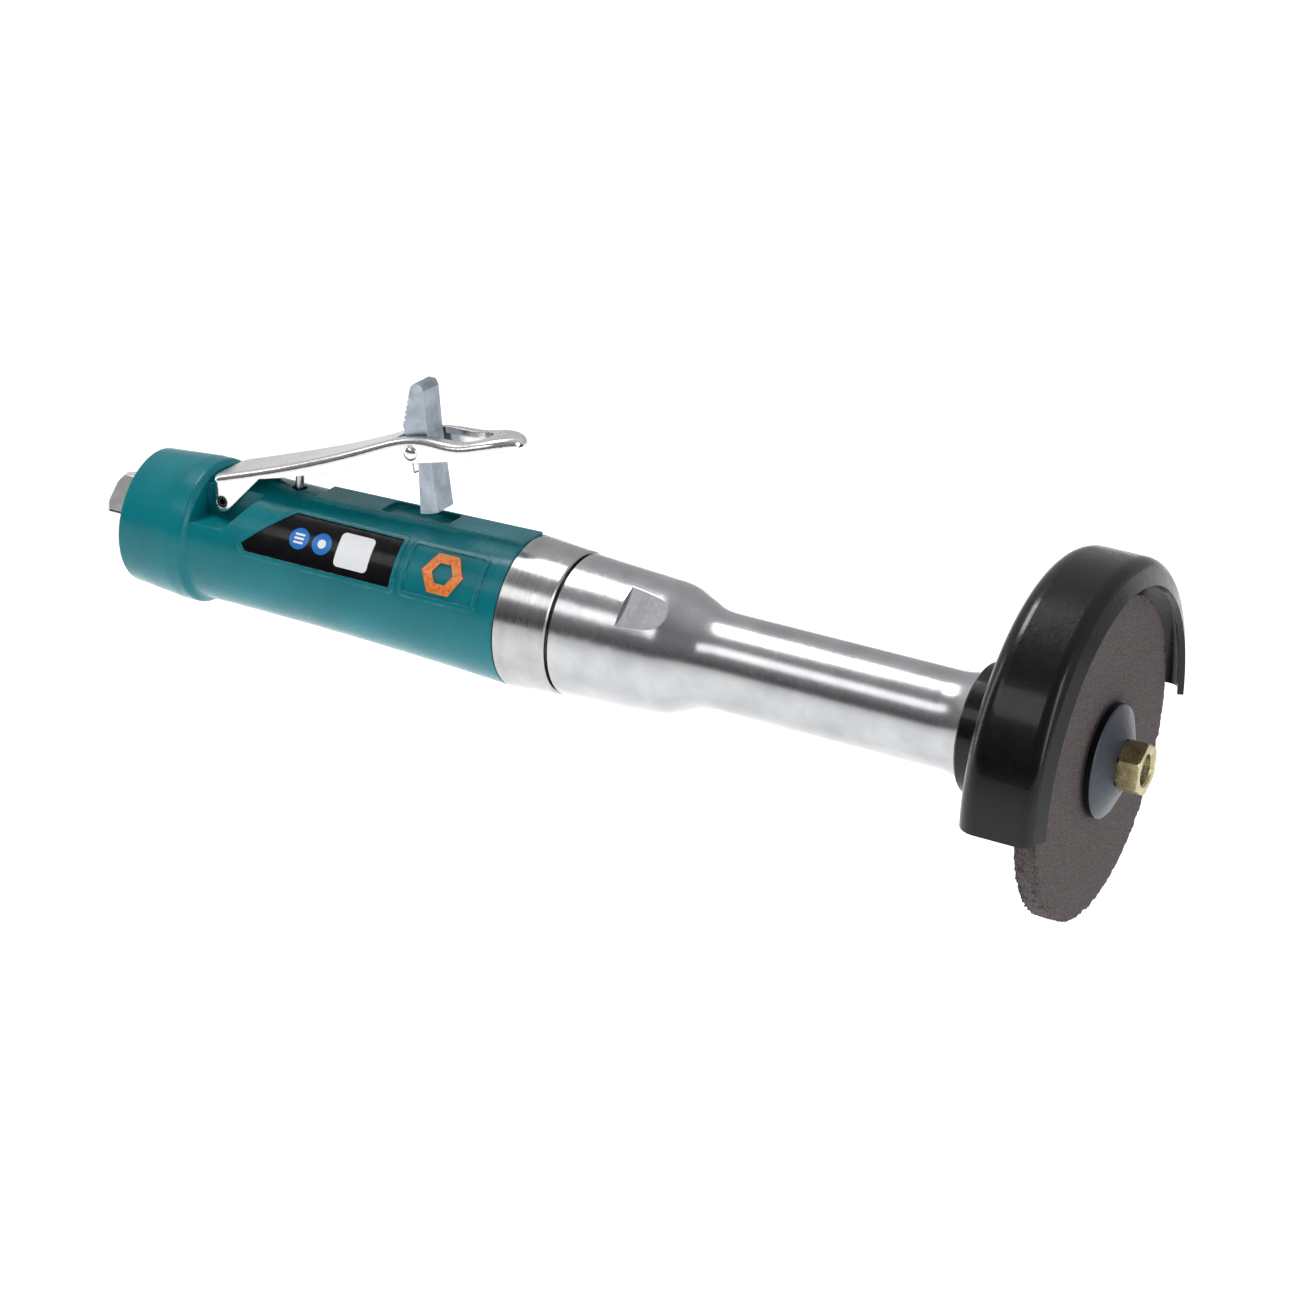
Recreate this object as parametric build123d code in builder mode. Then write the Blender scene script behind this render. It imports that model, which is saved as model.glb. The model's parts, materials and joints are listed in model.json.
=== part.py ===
from build123d import *
import os
from math import asin, cos, radians, sin

# Extended pneumatic die grinder with a guarded cut-off wheel, in millimetres.
# Frame: +X runs along the tool from the air inlet to the wheel, +Z points up through the throttle lever,
# and the origin is the centre of the air inlet's mouth.

# ---------------------------------------------------------------- driving dimensions
WHEEL_RADIUS = 50.8                 # 4 inch cut-off wheel
WHEEL_THICKNESS = 7.5
WHEEL_FRONT = 352.0                 # x of the wheel's front face
ARBOR_RADIUS = 4.76                 # 3/8 inch spindle thread

HEX_ACROSS_FLATS = 24.0
HEX_LENGTH = 12.0                   # the inlet hexagon stands this far out of the housing
INLET_THREAD_RADIUS = 5.8           # 1/4 inch pipe thread
INLET_THREAD_DEPTH = 15.0

COLLAR_FRONT = 35.8                 # front of the wide collar at the housing's rear
COLLAR_RADIUS = 24.4
COLLAR_REAR_RADIUS = 22.7
COLLAR_STEP = 39.0                  # foot of the step down from the collar
BODY_REAR_RADIUS = 22.15            # just ahead of the collar
BODY_FRONT_RADIUS = 24.7
BODY_FRONT = 154.7
WAIST = 3.2                         # four times the depth of the body's shallow waist
LOCK_RING_FRONT = 172.7
EXTENSION_REAR = 174.0              # where the extension's outside begins
TUBE_RADIUS = 15.5
GUARD_REAR = 330.2
GUARD_RADIUS = 62.0
SHEET = 2.0                         # guard and lever sheet

PIVOT_X, PIVOT_Z = 44.5, 15.2       # throttle lever's pin
LOCK_X, LOCK_Z = 113.7, 47.0        # lock-off lever's pin
STEM_X = 67.4                       # valve stem
SEAT_X = 38.0                       # valve seat wall's rear face
PAD_HALF_WIDTH = 6.2
PAD_SLOPE = 0.027                   # the pad on top rises this much per millimetre

MOTOR_RADIUS = 18.0
MOTOR_REAR = 84.0
CYLINDER_REAR = 92.5
CYLINDER_FRONT = 136.5
TAIL_REAR = 148.0                   # rear end of the extension, screwed into the housing
TAIL_RADIUS = 20.0
NOSE_RADIUS = 16.0
NOSE_FRONT = 337.0

FIT = 0.05                          # radial clearance of a running fit
GAP = 0.3                           # clearance between parts that move apart

os.makedirs("parts", exist_ok=True)


# ---------------------------------------------------------------- helpers
def turn(points, mode=Mode.ADD):
    """Revolve a closed outline of (x, radius) points about the tool's axis."""
    with BuildSketch(Plane.XZ) as outline:
        with BuildLine():
            Polyline(*points, close=True)
        make_face()
    revolve(outline.sketch, axis=Axis.X, mode=mode)


def turn_ring(x0, x1, inner, outer, mode=Mode.ADD):
    """A plain ring, or a disc when the inner radius is zero, between two places on the axis."""
    turn([(x0, inner), (x0, outer), (x1, outer), (x1, inner)], mode)


def bore(x0, x1, radius):
    """Cut a round hole along the tool's axis."""
    turn_ring(x0, x1, 0, radius, Mode.SUBTRACT)


def hex_prism(x0, x1, across_flats, turned=0.0, mode=Mode.ADD):
    """A hexagonal prism, or hole, along the tool's axis."""
    with BuildSketch(Plane.YZ.offset(x0)) as hexagon:
        RegularPolygon(across_flats / 2, 6, major_radius=False, rotation=turned)
    extrude(hexagon.sketch, amount=x1 - x0, mode=mode)


def round_corners(x0, x1, rear_radius, front_radius, full_radius, depth):
    """Trim a hexagon's corners to a gently domed chamfer at either end."""
    with BuildSketch(Plane.XZ) as envelope:
        with BuildLine():
            rear = Bezier((x0, rear_radius), (x0 + 0.45 * depth, 0.4 * rear_radius + 0.6 * full_radius),
                          (x0 + depth, full_radius))
            front = Bezier((x1 - depth, full_radius),
                           (x1 - 0.45 * depth, 0.4 * front_radius + 0.6 * full_radius), (x1, front_radius))
            Line(rear @ 1, front @ 0)
            Polyline(front @ 1, (x1, 0), (x0, 0), rear @ 0)
        make_face()
    revolve(envelope.sketch, axis=Axis.X, mode=Mode.INTERSECT)


def holes_along_x(x0, x1, pitch_radius, radius, count, start, span):
    """Cut a row of round holes parallel to the axis, spread over an arc."""
    with BuildSketch(Plane.YZ.offset(x0)) as pattern:
        with PolarLocations(pitch_radius, count, start, span, endpoint=span < 360):
            Circle(radius)
    extrude(pattern.sketch, amount=x1 - x0, mode=Mode.SUBTRACT)


def ring_of_wire(x, ring_radius, wire_radius):
    """An O-ring about the tool's axis."""
    with BuildSketch(Plane.XZ) as section:
        with Locations((x, ring_radius)):
            Circle(wire_radius)
    revolve(section.sketch, axis=Axis.X)


BLOCK_DEPTH = 40.0                  # height of the prisms that cut the label and the badge out of the skin


def side_plane(angle, distance=0.0):
    """A plane whose normal is turned up from -Y by the angle, with its x along the tool."""
    normal = (0, -cos(radians(angle)), sin(radians(angle)))
    return Plane(origin=tuple(distance * part for part in normal), x_dir=(1, 0, 0), z_dir=normal)


def finish_part(part, name):
    """Label a piece and write its file."""
    part.part.label = name
    export_step(part.part, f"parts/{name}.step")


def pad_height(x):
    """Height of the flat pad along the top of the housing."""
    return 22.9 + PAD_SLOPE * (x - 77.0)


# ---------------------------------------------------------------- rear housing
LABEL_ANGLE = 35.0                  # the label and badge face this far up from -Y
LABEL_OUTLINE = [(58.5, -6.0), (60.5, -8.2), (115.5, -8.2), (115.5, 8.2), (74.5, 8.2)]
BADGE_CENTRE = 133.4
BADGE_SIZE = (29.0, 19.0)
FRAME_WIDTH = 1.5                   # raised rim round the label and the badge
FRAME_HEIGHT = 0.35
LABEL_RECESS = 0.5                  # depth of the label's seat, and the thickness of the label in it
LABEL_SHEET = 0.4


def skin_radius(x):
    """Radius of the housing's slightly waisted outside."""
    along = (x - COLLAR_STEP) / (BODY_FRONT - COLLAR_STEP)
    return BODY_REAR_RADIUS + (BODY_FRONT_RADIUS - BODY_REAR_RADIUS) * along - WAIST * along * (1 - along)


def skin_line(x0, x1, lift=0.0):
    """Control points of the waisted outline between two places on the axis."""
    along = (x0 - COLLAR_STEP) / (BODY_FRONT - COLLAR_STEP)
    slope = (BODY_FRONT_RADIUS - BODY_REAR_RADIUS - WAIST * (1 - 2 * along)) / (BODY_FRONT - COLLAR_STEP)
    start = skin_radius(x0) + lift
    return (x0, start), ((x0 + x1) / 2, start + slope * (x1 - x0) / 2), (x1, skin_radius(x1) + lift)


def label_block(grow):
    """Prism over the label's outline, grown sideways, from inside the wall outwards."""
    with BuildPart(mode=Mode.PRIVATE) as block:
        with BuildSketch(side_plane(LABEL_ANGLE, 12.0)) as face:
            with BuildLine():
                Polyline(*LABEL_OUTLINE, close=True)
            make_face()
            if grow:
                offset(amount=grow)
        extrude(face.sketch, amount=BLOCK_DEPTH)
    return block.part


def badge_block(grow):
    """Prism over the badge's rounded rectangle, grown sideways."""
    with BuildPart(mode=Mode.PRIVATE) as block:
        with BuildSketch(side_plane(LABEL_ANGLE, 12.0)) as face:
            with Locations((BADGE_CENTRE, 0)):
                RectangleRounded(BADGE_SIZE[0] + 2 * grow, BADGE_SIZE[1] + 2 * grow, 2.5 + grow)
        extrude(face.sketch, amount=BLOCK_DEPTH)
    return block.part


def skin_band(lift, thickness, x0=54.0, x1=152.0):
    """A shell that follows the housing's outside, lifted off it, with a given thickness."""
    with BuildPart(mode=Mode.PRIVATE) as band:
        with BuildSketch(Plane.XZ) as section:
            with BuildLine():
                top = Bezier(*skin_line(x0, x1, lift))
                under = Bezier(*skin_line(x0, x1, lift - thickness))
                Line(top @ 0, under @ 0)
                Line(top @ 1, under @ 1)
            make_face()
        revolve(section.sketch, axis=Axis.X)
    return band.part


label_rim = skin_band(FRAME_HEIGHT, 2.0) & label_block(FRAME_WIDTH)
badge_rim = skin_band(FRAME_HEIGHT, 2.0) & (badge_block(0) - badge_block(-FRAME_WIDTH))

with BuildPart() as housing:
    # outside: collar, step and waisted body
    with BuildSketch(Plane.XZ) as outside:
        with BuildLine():
            waist = Bezier(*skin_line(COLLAR_STEP, BODY_FRONT))
            step = Bezier((COLLAR_FRONT, COLLAR_RADIUS), (COLLAR_FRONT + 1.7, COLLAR_RADIUS),
                          (COLLAR_FRONT + 1.3, BODY_REAR_RADIUS), waist @ 0)
            Polyline(waist @ 1, (BODY_FRONT, 0), (HEX_LENGTH, 0), (HEX_LENGTH, COLLAR_REAR_RADIUS),
                     (31, COLLAR_RADIUS), step @ 0)
        make_face()
        collar_corners = outside.vertices().filter_by_position(Axis.X, 10, 32)
        fillet(collar_corners.filter_by_position(Axis.Z, 22, 25), radius=1.4)
    revolve(axis=Axis.X)
    # flat pad along the top, with a short ramp at its rear end
    with BuildSketch(Plane.XZ) as pad_side:
        with BuildLine():
            Polyline((73.5, 20), (77, pad_height(77)), (BODY_FRONT, pad_height(BODY_FRONT)),
                     (BODY_FRONT, 20), close=True)
        make_face()
    extrude(pad_side.sketch, amount=PAD_HALF_WIDTH, both=True)
    # raised rims round the label and the badge, and the label's recess
    add(label_rim)
    add(badge_rim)
    add(skin_band(2.0, 2.0 + LABEL_RECESS) & label_block(0), mode=Mode.SUBTRACT)
    # pockets beside the web that carries the lever
    with BuildSketch(Plane.XZ) as pocket_side:
        with BuildLine():
            Polyline((37.8, 9.5), (50.5, 9.5), (63.0, 24.5), (63.0, 34), (37.8, 34), close=True)
        make_face()
        fillet(pocket_side.vertices().filter_by_position(Axis.Z, 9, 10), radius=2.5)
    for side in (-1, 1):
        extrude(pocket_side.sketch.moved(Location((0, side * 8.7, 0))), amount=-side * 20, mode=Mode.SUBTRACT)
    with BuildSketch(Plane.XZ) as web_top:
        with BuildLine():
            Polyline((37.8, 19.6), (50, 20.4), (58, 34), (37.8, 34), close=True)
        make_face()
    extrude(web_top.sketch, amount=30, both=True, mode=Mode.SUBTRACT)
    # relief in the pad that the lock-off lever's foot swings through
    with BuildSketch(Plane.XY.offset(22.0)) as relief:
        with Locations((113.5, 0)):
            RectangleRounded(25.0, 10.6, 2.0)
    extrude(relief.sketch, amount=6, mode=Mode.SUBTRACT)
    # air way, valve chamber, motor bore and front thread
    turn([(HEX_LENGTH, 0), (HEX_LENGTH, 9.5), (27, 9.5), (27, 8.5), (SEAT_X, 8.5), (SEAT_X, 5), (80, 5),
          (80, 14), (MOTOR_REAR, 14), (MOTOR_REAR, MOTOR_RADIUS), (146, MOTOR_RADIUS), (146, TAIL_RADIUS),
          (BODY_FRONT, TAIL_RADIUS), (BODY_FRONT, 0)], Mode.SUBTRACT)
    # exhaust annulus at the rear, fed by holes and grooves along the motor bore
    turn_ring(HEX_LENGTH, 34, 13.8, 20.6, Mode.SUBTRACT)
    holes_along_x(33, 130, 16.8, 2.0, 5, 210, 120)
    # vertical bore for the valve stem, with two seal grooves and a blind end
    for bottom, height, radius in ((-8.2, 8.2, 2.9), (0, 40, 2.5 + FIT), (9.2, 1.6, 4.1), (15.2, 1.6, 4.1)):
        with BuildSketch(Plane.XY.offset(bottom)) as stem_bore:
            with Locations((STEM_X, 0)):
                Circle(radius)
        extrude(stem_bore.sketch, amount=height, mode=Mode.SUBTRACT)
    # cross hole for the lever's pin
    with BuildSketch(Plane.XZ) as pin_hole:
        with Locations((PIVOT_X, PIVOT_Z)):
            Circle(2.0)
    extrude(pin_hole.sketch, amount=15, both=True, mode=Mode.SUBTRACT)
finish_part(housing, "rear_housing")

with BuildPart() as nameplate:
    add(skin_band(LABEL_SHEET - LABEL_RECESS, LABEL_SHEET))
    add(label_block(0), mode=Mode.INTERSECT)
finish_part(nameplate, "nameplate")

with BuildPart() as badge_emblem:
    add(skin_band(FRAME_HEIGHT + 0.1, 0.45 + FRAME_HEIGHT))
    with BuildSketch(side_plane(LABEL_ANGLE, 12.0)) as hexagon_mark:
        with Locations((BADGE_CENTRE, 0)):
            RegularPolygon(6.6, 6, major_radius=False)
            RegularPolygon(3.4, 6, major_radius=False, mode=Mode.SUBTRACT)
    extrude(hexagon_mark.sketch, amount=30, mode=Mode.INTERSECT)
    add(housing.part, mode=Mode.SUBTRACT)
finish_part(badge_emblem, "badge_emblem")

# ---------------------------------------------------------------- air inlet and exhaust
BUSHING_FRONT = 27.0
GROOVE_X = 14.2

with BuildPart() as inlet_bushing:
    hex_prism(0, HEX_LENGTH, HEX_ACROSS_FLATS, turned=46)
    round_corners(0, HEX_LENGTH, 12.4, 13.2, 13.6, 1.5)
    turn_ring(HEX_LENGTH, BUSHING_FRONT, 0, 9.5)
    turn_ring(GROOVE_X - 0.8, GROOVE_X + 0.8, 8.2, 10, Mode.SUBTRACT)
    bore(-1, INLET_THREAD_DEPTH, INLET_THREAD_RADIUS)
    bore(0, 30, 4.6)
finish_part(inlet_bushing, "inlet_bushing")

with BuildPart() as inlet_o_ring:
    ring_of_wire(GROOVE_X, 8.86, 0.62)
finish_part(inlet_o_ring, "inlet_o_ring")

with BuildPart() as inlet_screen:
    turn_ring(BUSHING_FRONT, BUSHING_FRONT + 0.8, 0, 8.4)
    bore(BUSHING_FRONT - 1, BUSHING_FRONT + 2, 0.7)
    for pitch_radius, count in ((2.2, 6), (4.2, 12), (6.2, 18)):
        holes_along_x(BUSHING_FRONT - 1, BUSHING_FRONT + 2, pitch_radius, 0.7, count, 0, 360)
finish_part(inlet_screen, "inlet_screen")

with BuildPart() as exhaust_plate:
    turn_ring(HEX_LENGTH + 0.6, HEX_LENGTH + 2.0, 13.8, 20.6)
    for pitch_radius, count in ((15.6, 20), (18.6, 24)):
        holes_along_x(HEX_LENGTH, HEX_LENGTH + 3, pitch_radius, 1.0, count, 0, 360)
finish_part(exhaust_plate, "exhaust_plate")

with BuildPart() as muffler_felt:
    turn_ring(HEX_LENGTH + 2.0, 33.6, 13.9, 20.5)
finish_part(muffler_felt, "muffler_felt")

# ---------------------------------------------------------------- throttle valve
HEAD_RADIUS = 6.5
STEM_RADIUS = 2.5
NECK_RADIUS = 1.5
STEM_DOME_Z = 28.5                  # centre of the stem's round end

with BuildPart() as valve_seal:
    turn_ring(SEAT_X - 1.2, SEAT_X, 5.0, 8.4)
finish_part(valve_seal, "valve_seal")

with BuildPart() as tip_valve:
    turn_ring(SEAT_X - 3.7, SEAT_X - 1.5, 0, HEAD_RADIUS)
    turn_ring(SEAT_X - 1.5, STEM_X + 3.2, 0, 1.0)
    fillet(tip_valve.edges().filter_by(GeomType.CIRCLE).sort_by(Axis.X)[0], radius=0.6)
finish_part(tip_valve, "tip_valve")

with BuildPart() as valve_spring:
    with BuildLine() as coil:
        Helix(pitch=1.3, height=4.2, radius=6.4, center=(28.6, 0, 0), direction=(1, 0, 0), cone_angle=-36)
    with BuildSketch(Plane(origin=coil.line @ 0, z_dir=coil.line % 0)):
        Circle(0.35)
    sweep(path=coil.line)
finish_part(valve_spring, "valve_spring")

with BuildPart() as valve_stem:
    with BuildSketch(Plane.XZ) as stem_half:
        with BuildLine():
            Polyline((0, STEM_DOME_Z + NECK_RADIUS), (0, -4), (STEM_RADIUS, -4), (STEM_RADIUS, 19.5),
                     (NECK_RADIUS, 20.5), (NECK_RADIUS, STEM_DOME_Z))
            ThreePointArc((NECK_RADIUS, STEM_DOME_Z),
                          (NECK_RADIUS * sin(radians(45)), STEM_DOME_Z + NECK_RADIUS * sin(radians(45))),
                          (0, STEM_DOME_Z + NECK_RADIUS))
        make_face()
    revolve(stem_half.sketch.moved(Location((STEM_X, 0, 0))), axis=Axis((STEM_X, 0, 0), (0, 0, 1)))
    with BuildSketch(Plane.YZ.offset(STEM_X - 5)) as tail_hole:
        Circle(1.6)
    extrude(tail_hole.sketch, amount=10, mode=Mode.SUBTRACT)
finish_part(valve_stem, "valve_stem")

with BuildPart() as stem_o_rings:
    with BuildSketch(Plane.XZ) as wires:
        with Locations((STEM_X + 3.3, 10.0), (STEM_X + 3.3, 16.0)):
            Circle(0.74)
    revolve(wires.sketch, axis=Axis((STEM_X, 0, 0), (0, 0, 1)))
finish_part(stem_o_rings, "stem_o_rings")

# ---------------------------------------------------------------- throttle lever
EAR_RADIUS = 3.3
LEVER_TOP = [(39.2, 22.8), (60, 30.1), (80, 37.8), (97, 45.3), (110, 50.9), (120, 52.9), (131, 53.6),
             (139, 55.9), (145, 57.3), (151, 57.5)]
LEVER_UNDER = [(151, 55.4), (138, 50.6), (113.8, 43.4), (92, 36.5), (70, 29.4), (58.5, 26.3), (47.3, 13.4)]
PLAN_REAR_HALF = 11.0
SLOT_HALF = 5.6
SLOT_REAR, SLOT_FRONT = 106.2, 138.0


def lever_block(drop, inset, open_end):
    """The lever's outer form, or the hollow under it: side view and plan view, crossed."""
    with BuildPart(mode=Mode.PRIVATE) as block:
        with BuildSketch(Plane.XZ.offset(-20)) as side_view:
            with BuildLine():
                top = Spline(*[(x, z - drop) for x, z in LEVER_TOP])
                if open_end:
                    Polyline(top @ 1, (LEVER_TOP[-1][0], -5), (30, -5),
                             (30, LEVER_TOP[0][1] - drop - 3.4), top @ 0)
                else:
                    lower = Polyline(top @ 1, *LEVER_UNDER)
                    ear = ThreePointArc(lower @ 1, (PIVOT_X + 0.3, PIVOT_Z - EAR_RADIUS), (41.6, 13.6))
                    Polyline(ear @ 1, (39.2, 16.2), top @ 0)
            make_face()
        extrude(side_view.sketch, amount=40)
        with BuildSketch(Plane.XY) as plan_view:
            rear = 25.0 if open_end else 39.2
            half = [(60, PLAN_REAR_HALF - inset), (LOCK_X, 9.0 - inset), (141, 8.4 - inset)]
            with BuildLine():
                flanks = Spline(*half, (150.5 - inset, 0), *[(x, -y) for x, y in reversed(half)],
                                tangents=[(1, 0), (-1, 0)])
                rear_half = PLAN_REAR_HALF - inset
                Polyline(flanks @ 1, (rear, -rear_half), (rear, rear_half), flanks @ 0)
            make_face()
            if not open_end:
                fillet(plan_view.vertices().group_by(Axis.X)[0], radius=4.0)
        extrude(plan_view.sketch, amount=80, both=True, mode=Mode.INTERSECT)
    return block.part


lever_hollow = lever_block(SHEET + 0.1, SHEET, open_end=True)

with BuildPart() as throttle_lever:
    add(lever_block(0, 0, open_end=False))
    crown = throttle_lever.faces().filter_by_position(Axis.X, 80, 110).sort_by(Axis.Z)[-1]
    fillet(crown.edges(), radius=2.3)
    add(lever_hollow, mode=Mode.SUBTRACT)
    with BuildSketch(Plane.XY.offset(30)) as slot:
        with Locations(((SLOT_REAR + SLOT_FRONT - SLOT_HALF) / 2, 0)):
            Rectangle(SLOT_FRONT - SLOT_HALF - SLOT_REAR, 2 * SLOT_HALF)
        with Locations((SLOT_FRONT - SLOT_HALF, 0)):
            Circle(SLOT_HALF)
        fillet(slot.vertices().group_by(Axis.X)[0], radius=1.5)
    extrude(slot.sketch, amount=60, mode=Mode.SUBTRACT)
    for x, z, radius in ((PIVOT_X, PIVOT_Z, 2.0 + FIT), (LOCK_X, LOCK_Z, 1.5)):
        with BuildSketch(Plane.XZ) as cross_hole:
            with Locations((x, z)):
                Circle(radius)
        extrude(cross_hole.sketch, amount=20, both=True, mode=Mode.SUBTRACT)
finish_part(throttle_lever, "throttle_lever")

with BuildPart() as lever_pivot_pin:
    with BuildSketch(Plane.XZ) as roll:
        with Locations((PIVOT_X, PIVOT_Z)):
            Circle(2.0)
            Circle(1.1, mode=Mode.SUBTRACT)
        with Locations((PIVOT_X, PIVOT_Z + 1.5)):
            Rectangle(0.5, 1.6, mode=Mode.SUBTRACT)
    extrude(roll.sketch, amount=10.8, both=True)
finish_part(lever_pivot_pin, "lever_pivot_pin")

# ---------------------------------------------------------------- lock-off lever
FOOT_RADIUS = 21.4
BAR_HALF_WIDTH = 4.8
LUG_RADIUS = 4.2


def about_lock_pin(radius, angle):
    """Point at a radius from the lock-off pin, with the angle forward of straight down."""
    return LOCK_X + radius * sin(radians(angle)), LOCK_Z - radius * cos(radians(angle))


with BuildPart() as lock_off_lever:
    with BuildSketch(Plane.XZ) as bar_side:
        with BuildLine():
            foot = ThreePointArc(about_lock_pin(FOOT_RADIUS, 6), about_lock_pin(FOOT_RADIUS, 15),
                                 about_lock_pin(FOOT_RADIUS, 24))
            Polyline(foot @ 1, (117.1, 53.2), (115.1, 66.6), (114.0, 68.5), (111.3, 68.5), (110.2, 67.2),
                     (109.5, 63.0), (108.1, 54.0), (109.4, 50.5), (109.9, 44.4), (114.4, 42.0), foot @ 0)
        make_face()
        with Locations((LOCK_X, LOCK_Z)):
            Circle(LUG_RADIUS)
    extrude(bar_side.sketch, amount=BAR_HALF_WIDTH, both=True)
    fillet(lock_off_lever.edges().filter_by(Axis.Y).group_by(Axis.Z)[-1], radius=0.7)
    with BuildSketch(Plane.XZ) as bar_hole:
        with Locations((LOCK_X, LOCK_Z)):
            Circle(1.5 + FIT)
    extrude(bar_hole.sketch, amount=20, both=True, mode=Mode.SUBTRACT)
    # serrations that give the thumb a grip
    for step in range(5):
        along = (step + 0.5) / 5
        notch = (109.4 - 1.2 * (1 - along), 55.0 + 8.9 * along)
        with BuildSketch(Plane.XZ) as serration:
            with Locations(notch):
                RegularPolygon(0.75, 3, rotation=10)
        extrude(serration.sketch, amount=10, both=True, mode=Mode.SUBTRACT)
finish_part(lock_off_lever, "lock_off_lever")

PIN_SEAT = 9.3                      # the pin's domed heads sit just outside the lever's flanges
HEAD_SIZE = 2.6
HEAD_RISE = 1.35
DOME_RADIUS = (HEAD_SIZE ** 2 + HEAD_RISE ** 2) / (2 * HEAD_RISE)
DOME_HALF = asin(HEAD_SIZE / DOME_RADIUS) / 2
DOME_MIDDLE = (DOME_RADIUS * sin(DOME_HALF), HEAD_RISE - DOME_RADIUS * (1 - cos(DOME_HALF)))

with BuildPart() as lock_off_pin:
    with BuildSketch(Plane.XY.offset(LOCK_Z)) as pin_half:
        with BuildLine():
            near = ThreePointArc((LOCK_X, -PIN_SEAT - HEAD_RISE),
                                 (LOCK_X + DOME_MIDDLE[0], -PIN_SEAT - DOME_MIDDLE[1]),
                                 (LOCK_X + HEAD_SIZE, -PIN_SEAT))
            shank = Polyline(near @ 1, (LOCK_X + 1.5, -PIN_SEAT), (LOCK_X + 1.5, PIN_SEAT),
                             (LOCK_X + HEAD_SIZE, PIN_SEAT))
            far = ThreePointArc(shank @ 1, (LOCK_X + DOME_MIDDLE[0], PIN_SEAT + DOME_MIDDLE[1]),
                                (LOCK_X, PIN_SEAT + HEAD_RISE))
            Line(far @ 1, near @ 0)
        make_face()
    revolve(pin_half.sketch, axis=Axis((LOCK_X, 0, LOCK_Z), (0, 1, 0)))
finish_part(lock_off_pin, "lock_off_pin")

WIRE = 0.3                          # radius of the spring's wire
COIL_RADIUS = 2.05
LEG_Y = -5.3                        # the spring's leg runs down beside the bar, then hooks behind it

with BuildPart() as lock_off_spring:
    with BuildLine() as spring_coil:
        Helix(pitch=0.62, height=1.24, radius=COIL_RADIUS, center=(LOCK_X, -6.6, LOCK_Z), direction=(0, 1, 0))
    with BuildSketch(Plane(origin=spring_coil.line @ 0, z_dir=spring_coil.line % 0)):
        Circle(WIRE)
    sweep(path=spring_coil.line)
    with BuildLine() as leg:
        FilletPolyline((LOCK_X - COIL_RADIUS, LEG_Y, LOCK_Z), (LOCK_X - 0.4, LEG_Y, LOCK_Z - 7.8),
                       (LOCK_X - 0.4, LEG_Y + 2.4, LOCK_Z - 8.0), radius=0.8)
    with BuildSketch(Plane(origin=leg.line @ 0, z_dir=leg.line % 0)):
        Circle(WIRE)
    sweep(path=leg.line)
finish_part(lock_off_spring, "lock_off_spring")

# ---------------------------------------------------------------- air motor
ROTOR_RADIUS = 12.8
BORE_DROP = 1.5                     # the cylinder's bore is offset downwards
BLADE_COUNT = 5
PIN_HEIGHT = 15.6

with BuildPart() as rear_bearing_plate:
    turn_ring(MOTOR_REAR, CYLINDER_REAR, 3.3, MOTOR_RADIUS)
    bore(MOTOR_REAR, CYLINDER_REAR - 2, 9.5)
    holes_along_x(MOTOR_REAR, CYLINDER_REAR, 12.4, 1.4, 5, 30, 120)
    holes_along_x(MOTOR_REAR + 1, CYLINDER_REAR, PIN_HEIGHT, 1.25, 1, 90, 0)
finish_part(rear_bearing_plate, "rear_bearing_plate")

with BuildPart() as cylinder:
    turn_ring(CYLINDER_REAR, CYLINDER_FRONT, 0, MOTOR_RADIUS - 0.1)
    with BuildSketch(Plane.YZ.offset(CYLINDER_REAR)) as offset_bore:
        with Locations((0, -BORE_DROP)):
            Circle(ROTOR_RADIUS + BORE_DROP + 0.2)
    extrude(offset_bore.sketch, amount=60, mode=Mode.SUBTRACT)
    holes_along_x(CYLINDER_REAR, CYLINDER_FRONT, PIN_HEIGHT, 1.25, 1, 90, 0)
    for port in range(5):
        with BuildSketch(Plane.XY.offset(-25)) as exhaust_port:
            with Locations((104 + 5.2 * port, 0)):
                Rectangle(2.4, 14)
        extrude(exhaust_port.sketch, amount=13, mode=Mode.SUBTRACT)
finish_part(cylinder, "cylinder")

with BuildPart() as front_bearing_plate:
    turn_ring(CYLINDER_FRONT, 146, 4.4, MOTOR_RADIUS)
    bore(CYLINDER_FRONT + 1.7, 146, 11)
    holes_along_x(CYLINDER_FRONT, 143, PIN_HEIGHT, 1.25, 1, 90, 0)
finish_part(front_bearing_plate, "front_bearing_plate")

with BuildPart() as clamp_washer:
    turn_ring(146, TAIL_REAR, 12.5, 17.8)
finish_part(clamp_washer, "clamp_washer")

with BuildPart() as locating_pin:
    with BuildSketch(Plane.YZ.offset(MOTOR_REAR + 1.2)) as pin_section:
        with Locations((0, PIN_HEIGHT)):
            Circle(1.25)
    extrude(pin_section.sketch, amount=57)
finish_part(locating_pin, "locating_pin")


def blade_slots(plane, width, inner, outer):
    """Radial bars, one for each rotor blade, drawn on the plane."""
    with BuildSketch(plane) as bars:
        with PolarLocations((inner + outer) / 2, BLADE_COUNT, start_angle=90):
            Rectangle(outer - inner, width)
    return bars.sketch


with BuildPart() as rotor:
    turn([(85, 0), (85, 3), (CYLINDER_REAR + GAP, 3), (CYLINDER_REAR + GAP, ROTOR_RADIUS),
          (CYLINDER_FRONT - GAP, ROTOR_RADIUS), (CYLINDER_FRONT - GAP, 4), (149, 4), (149, 0)])
    hex_prism(149, 157, 7.0)
    extrude(blade_slots(Plane.YZ.offset(90), 1.6, 5.6, 14), amount=49, mode=Mode.SUBTRACT)
finish_part(rotor, "rotor")

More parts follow.
